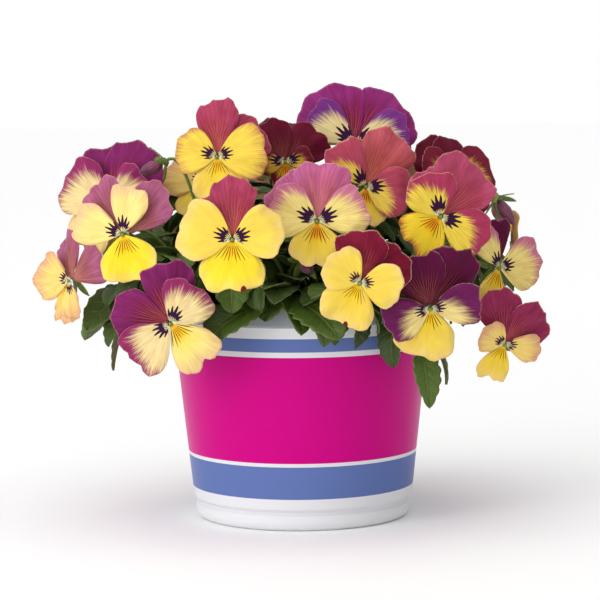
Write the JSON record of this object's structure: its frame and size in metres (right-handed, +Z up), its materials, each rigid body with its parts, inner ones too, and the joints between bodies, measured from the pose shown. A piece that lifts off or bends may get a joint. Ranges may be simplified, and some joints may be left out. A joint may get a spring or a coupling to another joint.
{
  "type": "potted pansy planter",
  "caption": "Round tapered plastic pot with a lip and banded wall, filled with soil and planted with garden pansies in full bloom over dark toothed leaves",
  "frame": {"origin": "centre of the flat pad under the pot, on the pot's axis, at the height of the surface it stands on", "axes": "+Z is up, along the pot's axis; the side that the picture shows faces -Y; +X is to the right as seen from there"},
  "size_m": [0.2882, 0.2599, 0.2491],
  "materials": {
    "pot": "gloss",
    "soil": "matte",
    "foliage": "satin",
    "petals_blush": "matte",
    "petals_coral": "matte",
    "petals_lemon": "matte",
    "petals_mauve": "matte",
    "petals_peach": "matte",
    "petals_pink": "matte",
    "petals_plum": "matte",
    "petals_rust": "matte",
    "petals_violet": "matte",
    "petals_wine": "matte",
    "bud": "matte"
  },
  "bodies": {
    "root": {"pot": "pot", "soil": "soil", "plant_front": "foliage", "plant_right": "foliage", "plant_left": "foliage", "bloom_01_upper": "petals_mauve", "bloom_01_face": "petals_lemon", "bloom_02_upper": "petals_wine", "bloom_02_face": "petals_lemon", "bloom_03_upper": "petals_plum", "bloom_03_face": "petals_violet", "bloom_04_upper": "petals_pink", "bloom_04_face": "petals_blush", "bloom_05_upper": "petals_plum", "bloom_05_face": "petals_violet", "bloom_06_upper": "petals_coral", "bloom_06_face": "petals_rust", "bloom_07_upper": "petals_mauve", "bloom_07_face": "petals_lemon", "bloom_08_upper": "petals_coral", "bloom_08_face": "petals_rust", "bloom_09_upper": "petals_coral", "bloom_09_face": "petals_lemon", "bloom_10_upper": "petals_wine", "bloom_10_face": "petals_lemon", "bloom_11_upper": "petals_plum", "bloom_11_face": "petals_violet", "bloom_12_upper": "petals_wine", "bloom_12_face": "petals_rust", "bloom_13_upper": "petals_mauve", "bloom_13_face": "petals_peach", "bloom_14_upper": "petals_plum", "bloom_14_face": "petals_violet", "bloom_15_upper": "petals_violet", "bloom_15_face": "petals_violet", "bloom_16_upper": "petals_coral", "bloom_16_face": "petals_lemon", "bloom_17_upper": "petals_wine", "bloom_17_face": "petals_rust", "bloom_18_upper": "petals_mauve", "bloom_18_face": "petals_lemon", "bloom_19_upper": "petals_plum", "bloom_19_face": "petals_violet", "bloom_20_upper": "petals_coral", "bloom_20_face": "petals_lemon", "bloom_21_upper": "petals_wine", "bloom_21_face": "petals_lemon", "bloom_22_upper": "petals_pink", "bloom_22_face": "petals_blush", "bloom_23_upper": "petals_plum", "bloom_23_face": "petals_rust", "bloom_24_upper": "petals_mauve", "bloom_24_face": "petals_lemon", "bloom_25_upper": "petals_violet", "bloom_25_face": "petals_violet", "bloom_26_upper": "petals_coral", "bloom_26_face": "petals_rust", "bud_1": "bud", "bud_2": "bud", "bud_3": "bud"}
  },
  "joints": []
}
